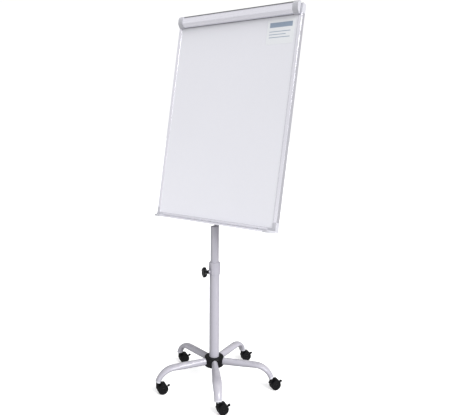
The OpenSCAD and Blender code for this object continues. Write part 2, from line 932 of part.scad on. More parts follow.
hub_core();
hub_cover();
hub_cap();
hub_bolt();
leg(1);  // leg_1
leg(2);  // leg_2
leg(3);  // leg_3
leg(4);  // leg_4
leg(5);  // leg_5
leg_plugs();
castor_stems();
lower_tube();
guide_bush();
collar();
height_knob();
height_screw();
castor_hood(1);  // castor_hood_1
castor_hood(2);  // castor_hood_2
castor_hood(3);  // castor_hood_3
castor_hood(4);  // castor_hood_4
castor_hood(5);  // castor_hood_5
castor_wheels(1);  // castor_wheels_1
castor_wheels(2);  // castor_wheels_2
castor_wheels(3);  // castor_wheels_3
castor_wheels(4);  // castor_wheels_4
castor_wheels(5);  // castor_wheels_5
castor_brake(1);  // castor_brake_1
castor_brake(2);  // castor_brake_2
castor_brake(3);  // castor_brake_3
castor_brake(4);  // castor_brake_4
castor_brake(5);  // castor_brake_5
mast_foot();
upper_tube();
mast_head();
tilt_bracket();
tilt_bolt();
tilt_knob();
bracket_screws();
spine();
board_face();
board_core();
back_sheet();
rail_top();
rail_bottom();
rail_left();
rail_right();
top_corners();
bottom_corners();
tray();
tray_caps();
tray_screws();
hook_rail();
hook_left();
hook_right();
clamp_brackets();
clamp_rail();
clamp_lip();
clamp_caps();
clamp_strip();
clamp_rod();
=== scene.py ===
import json
import math

import bmesh
import bpy
from mathutils import Matrix, Vector


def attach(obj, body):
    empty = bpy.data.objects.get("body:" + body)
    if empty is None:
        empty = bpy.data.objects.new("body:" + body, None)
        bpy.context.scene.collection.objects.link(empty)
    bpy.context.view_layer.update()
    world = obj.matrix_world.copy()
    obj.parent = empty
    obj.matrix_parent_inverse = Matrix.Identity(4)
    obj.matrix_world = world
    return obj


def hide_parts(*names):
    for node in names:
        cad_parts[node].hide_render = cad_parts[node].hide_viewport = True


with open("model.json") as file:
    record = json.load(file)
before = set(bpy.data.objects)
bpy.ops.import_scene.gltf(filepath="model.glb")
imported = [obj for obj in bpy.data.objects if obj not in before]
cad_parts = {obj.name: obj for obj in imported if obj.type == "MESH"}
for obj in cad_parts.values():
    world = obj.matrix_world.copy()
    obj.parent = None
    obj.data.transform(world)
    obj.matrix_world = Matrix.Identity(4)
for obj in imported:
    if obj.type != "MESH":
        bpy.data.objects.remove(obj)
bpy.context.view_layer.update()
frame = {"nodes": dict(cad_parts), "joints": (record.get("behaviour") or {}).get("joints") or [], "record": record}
NODES = frame["nodes"]
JOINTS = {j["name"]: j for j in frame["joints"]}
MOUNTS = {m["name"]: m for m in frame["record"]["mounts"]}
MM = 0.001

# ---------- places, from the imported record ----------

# Board axes: X right, Y back from the frame's front plane, Z up the board
FRONT = Vector(MOUNTS["hook_peg_left"]["axis"])
BACK = -FRONT
RIGHT = Vector((1, 0, 0))
UP = RIGHT.cross(BACK)
LEAN = math.asin(FRONT.z)
# The tilt pivot, measured from the lower front edge of the frame
PIVOT_BACK = 44 * MM
PIVOT_UP = 32 * MM
BOARD_O = Vector(JOINTS["board_tilt"]["pos_m"]) - BACK * PIVOT_BACK - UP * PIVOT_UP
BOARD_H = 1000 * MM


def axes_matrix(x, y, z, origin):
    """Takes points from the given axes and origin to the frame's."""
    m = Matrix((x, y, z)).transposed().to_4x4()
    m.translation = origin
    return m


BOARD = axes_matrix(RIGHT, BACK, UP, BOARD_O)
BOARD_TOP = axes_matrix(RIGHT, BACK, UP, BOARD_O + UP * BOARD_H)

COUNT = 5
SWIVELS = [JOINTS[f"castor_swivel_{k}"] for k in range(1, COUNT + 1)]
SPINS = [JOINTS[f"wheel_spin_{k}"] for k in range(1, COUNT + 1)]
WHEEL_R = SPINS[0]["pos_m"][2]
LEG_REACH = math.hypot(*SWIVELS[0]["pos_m"][:2])


# ---------- materials ----------

def srgb(r, g, b):
    """Linear colour from 0-255 display values."""
    def lin(c):
        c = c / 255
        return c / 12.92 if c <= 0.04045 else ((c + 0.055) / 1.055) ** 2.4
    return (lin(r), lin(g), lin(b), 1.0)


def shade(colour, k):
    """A colour made k times as bright."""
    return tuple(min(1.0, c * k) for c in colour[:3]) + (1.0,)


def feed(tree, value, socket):
    """Sets a socket to a value, or links an output to it."""
    if hasattr(value, "links"):
        tree.links.new(value, socket)
    else:
        socket.default_value = value


def map_range(tree, source, from_min, from_max, to_min, to_max):
    """A clamped straight-line map of one output to another range."""
    node = tree.nodes.new("ShaderNodeMapRange")
    for key, value in (("Value", source), ("From Min", from_min), ("From Max", from_max),
                       ("To Min", to_min), ("To Max", to_max)):
        feed(tree, value, node.inputs[key])
    return node.outputs["Result"]


class Nodes:
    """A small builder for one material's node tree."""

    def __init__(self, name):
        self.mat = bpy.data.materials.new(name)
        self.mat.use_nodes = True
        self.tree = self.mat.node_tree
        self.bsdf = self.tree.nodes["Principled BSDF"]
        self.coord = self.tree.nodes.new("ShaderNodeTexCoord")

    def new(self, kind, **values):
        node = self.tree.nodes.new(kind)
        for key, value in values.items():
            if hasattr(node, key):
                setattr(node, key, value)
            else:
                node.inputs[key].default_value = value
        return node

    def link(self, a, b):
        self.tree.links.new(a, b)

    def mapping(self, scale=(1, 1, 1), rotation=(0, 0, 0)):
        """Object coordinates turned back by rotation, then stretched by scale."""
        node = self.new("ShaderNodeMapping", vector_type="TEXTURE")
        node.inputs["Scale"].default_value = [1 / k for k in scale]
        node.inputs["Rotation"].default_value = rotation
        self.link(self.coord.outputs["Object"], node.inputs["Vector"])
        return node.outputs["Vector"]

    def noise(self, scale, detail=3.0, stretch=(1, 1, 1), rotation=(0, 0, 0)):
        node = self.new("ShaderNodeTexNoise", Scale=scale, Detail=detail, Roughness=0.55)
        self.link(self.mapping(stretch, rotation), node.inputs["Vector"])
        return node.outputs["Fac"]

    def span(self, fac, low, high, from_low=0.3, from_high=0.7):
        """Low to high as fac goes over its own span, which for noise is mostly 0.3 to 0.7."""
        return map_range(self.tree, fac, from_low, from_high, low, high)

    def times(self, a, b):
        node = self.new("ShaderNodeMath", operation="MULTIPLY")
        self.link(a, node.inputs[0])
        self.link(b, node.inputs[1])
        return node.outputs["Value"]

    def mix(self, fac, a, b):
        """Colour a where fac is 0 and b where it is 1; each is a value or an output."""
        node = self.new("ShaderNodeMix", data_type="RGBA")
        # Sockets 6 and 7 are A and B as colours, and output 2 is the mixed colour
        feed(self.tree, a, node.inputs[6])
        feed(self.tree, b, node.inputs[7])
        self.link(fac, node.inputs[0])
        return node.outputs[2]

    def bump(self, fac, strength, distance):
        node = self.new("ShaderNodeBump", Strength=strength, Distance=distance)
        self.link(fac, node.inputs["Height"])
        return node.outputs["Normal"]


def finish(name, colour, rough, metallic=0.0, vary=0.05, vary_scale=6.0, grain=400.0,
           grain_bump=0.0003, grain_strength=0.25, stretch=(1, 1, 1), rotation=(0, 0, 0), dust=None,
           coat=0.0, specular=0.5):
    """Even finish: slow colour drift, fine grain in bump and roughness, and dust where it settles."""
    n = Nodes(name)
    drift = n.noise(vary_scale, detail=4.0)
    colour_out = n.mix(n.span(drift, 0, 1), shade(colour, 1 - vary), shade(colour, 1 + vary))
    fine = n.noise(grain, detail=2.0, stretch=stretch, rotation=rotation)
    colour_out = n.mix(n.span(fine, 0.0, 0.35), colour_out, shade(colour, 1 - 1.6 * vary))
    if dust is not None:
        geometry = n.new("ShaderNodeNewGeometry")
        split = n.new("ShaderNodeSeparateXYZ")
        n.link(geometry.outputs["Normal"], split.inputs["Vector"])
        patches = n.span(n.noise(38.0, detail=6.0), 0.0, 0.5, 0.35, 0.75)
        upward = n.span(split.outputs["Z"], 0.0, 1.0, 0.6, 1.0)
        colour_out = n.mix(n.times(upward, patches), colour_out, dust)
    n.link(colour_out, n.bsdf.inputs["Base Color"])
    n.link(n.span(fine, rough - 0.06, rough + 0.07), n.bsdf.inputs["Roughness"])
    n.bsdf.inputs["Metallic"].default_value = metallic
    n.bsdf.inputs["Specular IOR Level"].default_value = specular
    n.bsdf.inputs["Coat Weight"].default_value = coat
    n.bsdf.inputs["Coat Roughness"].default_value = 0.12
    n.link(n.bump(fine, grain_strength, grain_bump), n.bsdf.inputs["Normal"])
    return n.mat


paint = finish("lavender_grey_paint", srgb(172, 170, 180), 0.34, vary=0.025, grain=900.0,
               grain_strength=0.12, dust=srgb(205, 203, 205), coat=0.25)
white_lacquer = finish("white_writing_lacquer", srgb(233, 233, 240), 0.16, vary=0.012, vary_scale=2.2,
                       grain=55.0, grain_bump=0.0001, grain_strength=0.05, coat=0.5)
plastic_grey = finish("light_grey_moulded_plastic", srgb(196, 196, 203), 0.42, vary=0.03, grain=1300.0,
                      grain_strength=0.3, dust=srgb(200, 198, 196))
black_plastic = finish("black_moulded_plastic", srgb(14, 14, 16), 0.36, vary=0.12, grain=1500.0,
                       grain_strength=0.45, dust=srgb(28, 27, 27), specular=0.14)
tyre_black = finish("black_tread", srgb(13, 13, 15), 0.6, vary=0.18, vary_scale=40.0, grain=900.0,
                    grain_strength=0.5, dust=srgb(32, 31, 30), specular=0.14)
zinc = finish("zinc_plated_steel", srgb(178, 180, 184), 0.3, metallic=1.0, vary=0.08, vary_scale=60.0,
              grain=700.0, grain_strength=0.2)
rubber = finish("black_rubber", srgb(26, 26, 27), 0.7, vary=0.15, grain=800.0, grain_strength=0.5)
back_paint = finish("galvanised_back_sheet", srgb(188, 190, 196), 0.42, metallic=0.55, vary=0.07,
                    vary_scale=26.0, grain=130.0, grain_strength=0.08)
fibreboard = finish("fibreboard", srgb(150, 120, 88), 0.8, vary=0.15, vary_scale=90.0, grain=500.0)


def anodised(name, colour, along):
    """Satin anodised aluminium, drawn along one board axis."""
    stretch = {"x": (6, 900, 900), "z": (900, 900, 6)}[along]
    return finish(name, colour, 0.25, metallic=0.9, vary=0.02, vary_scale=3.0, grain=1.0,
                  grain_bump=0.00006, grain_strength=0.25, stretch=stretch, rotation=(-LEAN, 0, 0))


ANODISED = srgb(214, 213, 221)
alu_x = anodised("anodised_aluminium_across", ANODISED, "x")
alu_z = anodised("anodised_aluminium_upright", ANODISED, "z")
alu_clamp = anodised("anodised_aluminium_clamp", srgb(219, 218, 226), "x")


# ---------- mesh helpers ----------

BEVEL_SEGMENTS = 2
CREASE_ANGLE = 30


def mesh_object(name, verts, faces, body, materials, matrix, replaced=(), face_materials=None,
                bevel=0, angle=CREASE_ANGLE, slot=None):
    """A new piece that rides on a body; matrix takes its points to the frame's axes."""
    mesh = bpy.data.meshes.new(name)
    mesh.from_pydata([Vector(v) for v in verts], [], faces)
    bm = bmesh.new()
    bm.from_mesh(mesh)
    if face_materials:
        bm.faces.ensure_lookup_table()
        for face, index in zip(bm.faces, face_materials):
            face.material_index = index
    bmesh.ops.remove_doubles(bm, verts=bm.verts, dist=1e-7)
    bmesh.ops.recalc_face_normals(bm, faces=bm.faces)
    bm.transform(matrix)
    bm.to_mesh(mesh)
    bm.free()
    for m in materials:
        mesh.materials.append(m)
    obj = bpy.data.objects.new(name, mesh)
    bpy.context.scene.collection.objects.link(obj)
    polish(obj, bevel, angle)
    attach(obj, body)
    if replaced:
        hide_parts(*replaced)


def polish(obj, bevel, angle=CREASE_ANGLE):
    """Smooth shading, edges rounded by bevel where they are sharper than angle, and weighted normals."""
    obj.data.polygons.foreach_set("use_smooth", [True] * len(obj.data.polygons))
    if bevel:
        mod = obj.modifiers.new("edges", "BEVEL")
        mod.width = bevel
        mod.segments = BEVEL_SEGMENTS
        mod.limit_method = "ANGLE"
        mod.angle_limit = math.radians(angle)
        mod.harden_normals = False
    mod = obj.modifiers.new("normals", "WEIGHTED_NORMAL")
    mod.keep_sharp = True
    mod.weight = 80


def dress(node, material, bevel):
    """A CAD node kept as it is, with softened edges and a proper finish."""
    obj = NODES[node]
    obj.data.materials.clear()
    obj.data.materials.append(material)
    for name in ("custom_normal", "sharp_face", "sharp_edge"):
        if name in obj.data.attributes:
            obj.data.attributes.remove(obj.data.attributes[name])
    weld = obj.modifiers.new("weld", "WELD")
    weld.merge_threshold = 2e-6
    flat = obj.modifiers.new("flats", "DECIMATE")
    flat.decimate_type = "DISSOLVE"
    flat.angle_limit = math.radians(0.4)
    polish(obj, bevel)


def angles(sides):
    """Evenly spaced angles round one turn."""
    return [2 * math.pi * i / sides for i in range(sides)]


def ring_faces(rings, sides, caps=True):
    """Quads between rings of points, and n-gons on the ends."""
    faces = []
    for j in range(rings - 1):
        for i in range(sides):
            a, b = j * sides + i, j * sides + (i + 1) % sides
            faces.append((a, b, b + sides, a + sides))
    if caps:
        faces.append(tuple(range(sides))[::-1])
        faces.append(tuple((rings - 1) * sides + i for i in range(sides)))
    return faces


def prism(name, outline, x0, x1, body, material, **keys):
    """Sweeps an outline of (back, up) points from x0 to x1 in board axes."""
    verts = [(x, back, up) for x in (x0, x1) for back, up in outline]
    mesh_object(name, verts, ring_faces(2, len(outline)), body, [material], **keys)


def arc(centre, r, start, end, steps):
    """Points on a circle, from one angle to another in degrees."""
    turns = [math.radians(start + (end - start) * i / steps) for i in range(steps + 1)]
    return [(centre[0] + r * math.cos(t), centre[1] + r * math.sin(t)) for t in turns]


def soften(before, corner, after, reach, steps):
    """A curve round a corner, which leaves the two edges at reach from it."""
    a = corner + (before - corner).normalized() * reach
    b = corner + (after - corner).normalized() * reach
    shares = [i / steps for i in range(steps + 1)]
    return [tuple(a * (1 - t) ** 2 + corner * 2 * t * (1 - t) + b * t ** 2) for t in shares]


# ---------- legs ----------

# The leg's width and thickness at shares of its length
LEG_SECTIONS = [(0.0, 29 * MM, 36 * MM), (0.42, 38 * MM, 33 * MM), (0.68, 44 * MM, 27 * MM),
                (1.0, 34.5 * MM, 24 * MM)]
LEG_Z = 123 * MM
LEG_ROOT = 33.2 * MM
LEG_WALL = 2 * MM
BEND_R = 84 * MM
BEND_END = math.radians(68)
PLUG_FLANGE = 7 * MM
BEND_FROM = LEG_REACH - PLUG_FLANGE * math.cos(BEND_END) - BEND_R * math.sin(BEND_END)
LEVEL_LEN = BEND_FROM - LEG_ROOT
LEG_LEN = LEVEL_LEN + BEND_R * BEND_END
LEG_SIDES = 40
LEG_RINGS = 56


def leg_size(share, which):
    """The leg's width (1) or thickness (2) at a share of its length, eased between its sections."""
    for a, b in zip(LEG_SECTIONS, LEG_SECTIONS[1:]):
        if share <= b[0] or b is LEG_SECTIONS[-1]:
            t = min(1.0, (share - a[0]) / (b[0] - a[0]))
            return a[which] + (b[which] - a[which]) * (1 - math.cos(math.pi * t)) / 2


def leg_ring(s, inset):
    """One ring of a leg along +X, at length s: level at first, then bent down."""
    slope = max(0.0, (s - LEVEL_LEN) / BEND_R)
    if slope == 0:
        r, z = LEG_ROOT + s, LEG_Z
    else:
        r, z = BEND_FROM + BEND_R * math.sin(slope), LEG_Z - BEND_R * (1 - math.cos(slope))
    half_w, half_t = leg_size(s / LEG_LEN, 1) / 2 - inset, leg_size(s / LEG_LEN, 2) / 2 - inset
    ring = []
    for a in angles(LEG_SIDES):
        side, out = half_w * math.cos(a), half_t * math.sin(a)
        ring.append((r + out * math.sin(slope), side, z + out * math.cos(slope)))
    return ring


def make_leg(k):
    """A hollow leg: out along its outer skin, back along its inner one, and closed into a wall."""
    x, y, _ = SWIVELS[k - 1]["pos_m"]
    matrix = Matrix.Rotation(math.atan2(y, x), 4, "Z")
    stations = [LEG_LEN * j / (LEG_RINGS - 1) for j in range(LEG_RINGS)]
    verts = [p for s in stations for p in leg_ring(s, 0)]
    verts += [p for s in reversed(stations) for p in leg_ring(s, LEG_WALL)]
    faces = ring_faces(2 * LEG_RINGS, LEG_SIDES, caps=False)
    last = (2 * LEG_RINGS - 1) * LEG_SIDES
    faces += [(last + i, last + (i + 1) % LEG_SIDES, (i + 1) % LEG_SIDES, i) for i in range(LEG_SIDES)]
    mesh_object(f"leg_tube_{k}", verts, faces, "base", [paint], replaced=[f"leg_{k}"], matrix=matrix,
                bevel=0.5 * MM, angle=50, slot="grey_paint")


# ---------- castors ----------

# The faces of one wheel, from the castor's middle
WHEEL_INNER = 5.5 * MM
WHEEL_OUTER = 17 * MM
DISH_R = 14.5 * MM
BOSS_R = 8.8 * MM
AXLE_BORE_R = 3.15 * MM
BOSS_SINK = 0.7 * MM
WEB_SINK = 1.4 * MM
WHEEL_SIDES = 72


def wheel_section():
    """The tread and the rim of one wheel, as (radius, distance from the castor's middle)."""
    r, inner, outer = WHEEL_R, WHEEL_INNER, WHEEL_OUTER
    tread = [(r - drop * MM, inner + step * MM)
             for drop, step in ((3.2, 0), (1.1, 0.2), (0.3, 1.1), (0, 2.4))]
    tread += [(r - drop * MM, outer - step * MM)
              for drop, step in ((0, 3.4), (0.5, 1.9), (1.7, 0.7), (3.4, 0.1), (5.2, 0), (5.6, 0.6))]
    rim = [(r - 5.9 * MM, outer - 1.7 * MM), (DISH_R, outer - 2.3 * MM),
           (BOSS_R + 0.6 * MM, outer - 2.1 * MM), (BOSS_R, outer - 1.1 * MM),
           (BOSS_R - 0.9 * MM, outer - BOSS_SINK), (AXLE_BORE_R, outer - BOSS_SINK), (AXLE_BORE_R, inner),
           (BOSS_R - 0.8 * MM, inner), (BOSS_R - 0.2 * MM, inner + WEB_SINK),
           (r - 6.5 * MM, inner + WEB_SINK), (r - 5.8 * MM, inner)]
    return tread, rim


def make_wheels(k):
    """The pair of wheels of one castor, each a closed section turned about the axle."""
    spin = SPINS[k - 1]
    axle = Vector(spin["axis"]).normalized()
    place = axes_matrix(Vector((0, 0, 1)).cross(axle), Vector((0, 0, 1)), axle, Vector(spin["pos_m"]))
    tread, rim = wheel_section()
    section = tread + rim
    rows, sides = len(section), WHEEL_SIDES
    verts, faces, kinds = [], [], []
    for sign in (1, -1):
        start = len(verts)
        verts += [(r * math.cos(a), r * math.sin(a), sign * height)
                  for r, height in section for a in angles(sides)]
        for j in range(rows):
            here, there = start + j * sides, start + (j + 1) % rows * sides
            for i in range(sides):
                n = (i + 1) % sides
                faces.append((here + i, here + n, there + n, there + i))
                # The tread's material also covers the step that closes the section
                kinds.append(0 if j < len(tread) or j == rows - 1 else 1)
    mesh_object(f"twin_wheels_{k}", verts, faces, f"wheels_{k}", [tyre_black, black_plastic],
                replaced=[f"castor_wheels_{k}"], face_materials=kinds, matrix=place, slot="black_tread")


# ---------- hand knobs ----------

KNOB_LOBES = 6
LOBE_DEPTH = 0.2
KNOB_SIDES = 144
# The neck, then the head from its underside to its dished top, as shares of (length, radius)
NECK = [(0.0, 0.93), (0.25, 1.0), (1.0, 1.0)]
HEAD = [(0.0, 0.80), (0.04, 0.90), (0.12, 0.965), (0.26, 1.0), (0.72, 1.0), (0.86, 0.97), (0.95, 0.91),
        (1.0, 0.80), (1.0, 0.55), (0.97, 0.50), (0.97, 0.02)]
# The head is round inside this share of its radius and takes its full lobes over the next share
ROUND_SHARE = 0.5
LOBE_SHARE = 0.3


def lobed(angle, r, depth):
    """Outline radius of a star knob: full lobes with narrow valleys."""
    wave = 0.5 + 0.5 * math.cos(KNOB_LOBES * angle)
    return r - depth * (1 - wave ** 0.7)


def make_knob(name, node, body, origin, axis, r, neck_r, neck_len, head_t):
    """A lobed hand knob on a round neck, which starts at origin and points along axis."""
    depth = r * LOBE_DEPTH
    verts = [(k * neck_r * math.cos(a), k * neck_r * math.sin(a), share * neck_len)
             for share, k in NECK for a in angles(KNOB_SIDES)]
    for share, k in HEAD:
        lobes = min(1.0, max(0.0, (k - ROUND_SHARE) / LOBE_SHARE))
        for a in angles(KNOB_SIDES):
            radius = (lobed(a, r, depth) * lobes + (r - 0.5 * depth) * (1 - lobes)) * k
            verts.append((radius * math.cos(a), radius * math.sin(a), neck_len + share * head_t))
    faces = ring_faces(len(NECK) + len(HEAD), KNOB_SIDES)
    axis = Vector(axis).normalized()
    side = axis.orthogonal().normalized()
    matrix = axes_matrix(side, axis.cross(side), axis, origin)
    mesh_object(name, verts, faces, body, [black_plastic], replaced=[node], matrix=matrix,
                slot="black_plastic")


# ---------- clamp ----------

# Board axes as (back, up), with up measured from the frame's top edge
CURVE_C = (-3 * MM, -14.5 * MM)
CURVE_R = 22.5 * MM
CURVE_STEPS = 32
CLAMP_DROP = 48 * MM
CREASE_BACK = -24 * MM
FOOT_BACK = -8 * MM
MOUTH_BACK = -2.5 * MM
HEEL_REACH = 0.9 * MM
CLAMP_HALF = 337 * MM
CLAMP_WALL = 1.8 * MM
LIP_GAP = 0.04 * MM
CAP_LEN = 28 * MM
CAP_SKIN = 1.2 * MM
CAP_PLATE = 2.5 * MM
CAP_GAP = 0.03 * MM
# Each corner of the outer skin, and which way it moves as the skin is set in
CREASE = (CREASE_BACK, -CLAMP_DROP + 15 * MM), (0.97, 0.44)
HEEL = (FOOT_BACK - 3.5 * MM, -CLAMP_DROP + 2 * MM), (0.62, 0.8)
FOOT = (FOOT_BACK, -CLAMP_DROP), (0.27, 1.0)


def corners(inset):
    """Crease, heel and foot of one skin."""
    return [Vector(point) + Vector(move) * inset for point, move in (CREASE, HEEL, FOOT)]


def shoulder(inset):
    """The curved top of one skin, down to where its flat front begins."""
    return arc(CURVE_C, CURVE_R - inset, 90, 180, CURVE_STEPS)


def heel_side(inset):
    """One skin of the gripping lip below the crease, its heel softened."""
    crease, heel, foot = corners(inset)
    return soften(crease, heel, foot, HEEL_REACH, 4) + [tuple(foot), (MOUTH_BACK, -CLAMP_DROP + inset)]


def clamp_side(inset):
    """One skin of the whole clamp, from its top edge round to its mouth."""
    return shoulder(inset) + [tuple(corners(inset)[0])] + heel_side(inset)


def make_clamp():
    creases = [corners(inset)[0] for inset in (0, CLAMP_WALL)]
    gap = Vector((0, LIP_GAP))
    rail = shoulder(0) + [tuple(c + gap) for c in creases] + shoulder(CLAMP_WALL)[::-1]
    lip = [tuple(creases[0])] + heel_side(0) + heel_side(CLAMP_WALL)[::-1] + [tuple(creases[1])]
    for name, outline, node in (("clamp_shell", rail, "clamp_rail"), ("clamp_grip_lip", lip, "clamp_lip")):
        prism(name, outline, -CLAMP_HALF, CLAMP_HALF, "clamp", alu_clamp, replaced=[node], matrix=BOARD_TOP,
              bevel=0.3 * MM, angle=35, slot="aluminium")
    half = CLAMP_HALF + CAP_PLATE
    sleeve = clamp_side(-CAP_SKIN) + clamp_side(-CAP_GAP)[::-1]
    cover = clamp_side(-CAP_SKIN) + [(MOUTH_BACK, CURVE_C[1])]
    # One CAD node holds both end caps, so one of the new pieces replaces it
    for tag, sign in (("left", -1), ("right", 1)):
        near, far = sorted((sign * (half - CAP_LEN), sign * CLAMP_HALF))
        prism(f"clamp_end_sleeve_{tag}", sleeve, near, far, "clamp", plastic_grey, matrix=BOARD_TOP,
              bevel=0.4 * MM, angle=50, slot="grey_plastic", replaced=["clamp_caps"] if sign > 0 else ())
        near, far = sorted((sign * CLAMP_HALF, sign * half))
        prism(f"clamp_end_plate_{tag}", cover, near, far, "clamp", plastic_grey, matrix=BOARD_TOP,
              bevel=0.6 * MM, angle=40, slot="grey_plastic")


# ---------- label ----------

LABEL_LEFT, LABEL_RIGHT = 181 * MM, 320 * MM
LABEL_FOOT, LABEL_TOP = 830 * MM, 938 * MM
LABEL_FRONT, LABEL_BACK = 1.8 * MM, 1.98 * MM
LABEL_CORNER = 5 * MM
LABEL_MARGIN = 12 * MM
BAR_H = 22 * MM
RULES = 3
RULE_H = 3 * MM
RULE_PITCH = 13 * MM
FIRST_RULE = 54 * MM
# How far the rules stop short of the sticker's right edge, in turn
RULE_ENDS = (20 * MM, 42 * MM)
PRINT_EDGE = 0.4 * MM


def make_label():
    """A blank sticker with plain rules, in the board's upper right corner."""
    square = [Vector(p) for p in ((LABEL_LEFT, LABEL_FOOT), (LABEL_RIGHT, LABEL_FOOT),
                                  (LABEL_RIGHT, LABEL_TOP), (LABEL_LEFT, LABEL_TOP))]
    outline = [p for i, corner in enumerate(square)
               for p in soften(square[i - 1], corner, square[(i + 1) % 4], LABEL_CORNER, 6)]
    verts = [(x, depth, up) for depth in (LABEL_FRONT, LABEL_BACK) for x, up in outline]
    mat = Nodes("blank_label")
    place = mat.new("ShaderNodeSeparateXYZ")
    mat.link(mat.coord.outputs["Object"], place.inputs["Vector"])

    def band(axis, low, high):
        """1 between low and high along a world axis, 0 outside."""
        rise = mat.span(place.outputs[axis], 0.0, 1.0, low - PRINT_EDGE, low + PRINT_EDGE)
        fall = mat.span(place.outputs[axis], 1.0, 0.0, high - PRINT_EDGE, high + PRINT_EDGE)
        return mat.times(rise, fall)

    def height(up):
        return (BOARD @ Vector((0, 0, up))).z

    colour = mat.mix(mat.span(mat.noise(420.0), 0, 1), srgb(238, 240, 243), srgb(231, 233, 237))
    tint = mat.mix(mat.span(mat.noise(300.0), 0, 1), srgb(150, 165, 184), srgb(141, 156, 176))
    left, right, bar_top = LABEL_LEFT + LABEL_MARGIN, LABEL_RIGHT - LABEL_MARGIN, LABEL_TOP - LABEL_MARGIN
    bars = [(bar_top - BAR_H, bar_top, right)]
    for i in range(RULES):
        low = LABEL_TOP - FIRST_RULE - i * RULE_PITCH
        bars.append((low, low + RULE_H, LABEL_RIGHT - RULE_ENDS[i % 2]))
    for low, high, end in bars:
        printed = mat.times(band("Z", height(low), height(high)), band("X", left, end))
        colour = mat.mix(printed, colour, tint)
    mat.link(colour, mat.bsdf.inputs["Base Color"])
    mat.link(mat.span(mat.noise(150.0), 0.32, 0.44), mat.bsdf.inputs["Roughness"])
    mat.link(mat.bump(mat.noise(700.0), 0.1, 0.00005), mat.bsdf.inputs["Normal"])
    mesh_object("blank_label", verts, ring_faces(2, len(outline)), "board", [mat.mat], matrix=BOARD,
                slot="white_lacquer")


# ---------- screws ----------

SCREW_SIDES = 48
# A pan head from its rim to the edge of its recess, and the recess, as shares of (radius, height)
PAN_HEAD = [(1.0, 0.0), (1.0, 0.25), (0.93, 0.62), (0.74, 0.9), (0.5, 1.0)]
RECESS = [(0.5, 1.0), (0.08, 0.45)]
RECESS_WAIST = 0.25


def cross(angle, waist):
    """The outline of a cross: 1 along its four arms and waist between them, where 1 is a circle."""
    return waist + (1 - waist) * abs(math.cos(2 * angle)) ** 6


def make_screws(name, node, body, spots, head_r, head_h, along):
    """Pan-head screws with a cross recess, replacing the plain CAD ones."""
    rings = [(r, h, 1.0) for r, h in PAN_HEAD] + [(r, h, RECESS_WAIST) for r, h in RECESS]
    verts, faces = [], []
    for x, back, up in spots:
        start = len(verts)
        for r, h, waist in rings:
            for a in angles(SCREW_SIDES):
                radius = head_r * r * cross(a, waist)
                verts.append((x + radius * math.cos(a), back + along * head_h * h,
                              up + radius * math.sin(a)))
        faces += [tuple(start + i for i in f) for f in ring_faces(len(rings), SCREW_SIDES)]
    mesh_object(name, verts, faces, body, [zinc], replaced=[node], matrix=BOARD, slot="zinc_steel")


# ---------- build ----------

for k in range(1, COUNT + 1):
    make_leg(k)
    make_wheels(k)
    dress(f"castor_hood_{k}", black_plastic, 0.6 * MM)
    dress(f"castor_brake_{k}", black_plastic, 0.7 * MM)

# Each CAD node that is kept, its finish and how far its edges are rounded, in mm
for node, material, bevel in (
        ("hub_core", zinc, 0.4), ("hub_cover", black_plastic, 0.8), ("hub_cap", black_plastic, 1),
        ("hub_bolt", zinc, 0.5), ("leg_plugs", plastic_grey, 0.4), ("castor_stems", zinc, 0.3),
        ("lower_tube", paint, 0.4), ("guide_bush", plastic_grey, 0.3), ("collar", paint, 0.5),
        ("height_screw", zinc, 0.3), ("mast_foot", black_plastic, 0.5), ("upper_tube", paint, 0.3),
        ("mast_head", paint, 0.8), ("tilt_bracket", paint, 0.6), ("tilt_bolt", zinc, 0.4),
        ("spine", alu_z, 0.4), ("board_face", white_lacquer, 0), ("board_core", fibreboard, 0),
        ("back_sheet", back_paint, 0), ("rail_top", alu_x, 0.3), ("rail_bottom", alu_x, 0.3),
        ("rail_left", alu_z, 0.3), ("rail_right", alu_z, 0.3), ("top_corners", plastic_grey, 0.7),
        ("bottom_corners", plastic_grey, 0.7), ("tray", alu_x, 0.4), ("tray_caps", plastic_grey, 0.6),
        ("hook_rail", alu_x, 0.2), ("hook_left", black_plastic, 0.6), ("hook_right", black_plastic, 0.6),
        ("clamp_brackets", alu_x, 0.3), ("clamp_strip", rubber, 0.4), ("clamp_rod", zinc, 0.3)):
    dress(node, material, bevel * MM)

make_clamp()
make_label()

# Where each knob's neck starts: out from the column's axis, and to the right of the board's middle
HEIGHT_KNOB_SEAT = 32.5 * MM
TILT_KNOB_SEAT = 12.3 * MM
knob_axis = Vector(JOINTS["height_knob_turn"]["axis"])
knob_seat = Vector((0, 0, JOINTS["height_knob_turn"]["pos_m"][2])) + knob_axis * HEIGHT_KNOB_SEAT
make_knob("height_hand_knob", "height_knob", "height_knob", knob_seat, knob_axis, r=25 * MM,
          neck_r=8.5 * MM, neck_len=10 * MM, head_t=18 * MM)
_, tilt_y, tilt_z = JOINTS["tilt_knob_turn"]["pos_m"]
make_knob("tilt_hand_knob", "tilt_knob", "tilt_knob", Vector((TILT_KNOB_SEAT, tilt_y, tilt_z)), RIGHT,
          r=16.5 * MM, neck_r=8 * MM, neck_len=6 * MM, head_t=14 * MM)

TRAY_SCREWS = [(x * MM, -2.5 * MM, 6 * MM) for x in (-260, 0, 260)]
BRACKET_SCREWS = [(x * MM, 29 * MM, up * MM) for x, up in ((-36, 9), (36, 9), (0, 86), (0, 116))]
make_screws("tray_fixings", "tray_screws", "board", TRAY_SCREWS, head_r=3.5 * MM, head_h=1.8 * MM, along=-1)
make_screws("bracket_fixings", "bracket_screws", "board", BRACKET_SCREWS, head_r=4.5 * MM, head_h=2.4 * MM,
            along=1)

# ---------- floor ----------

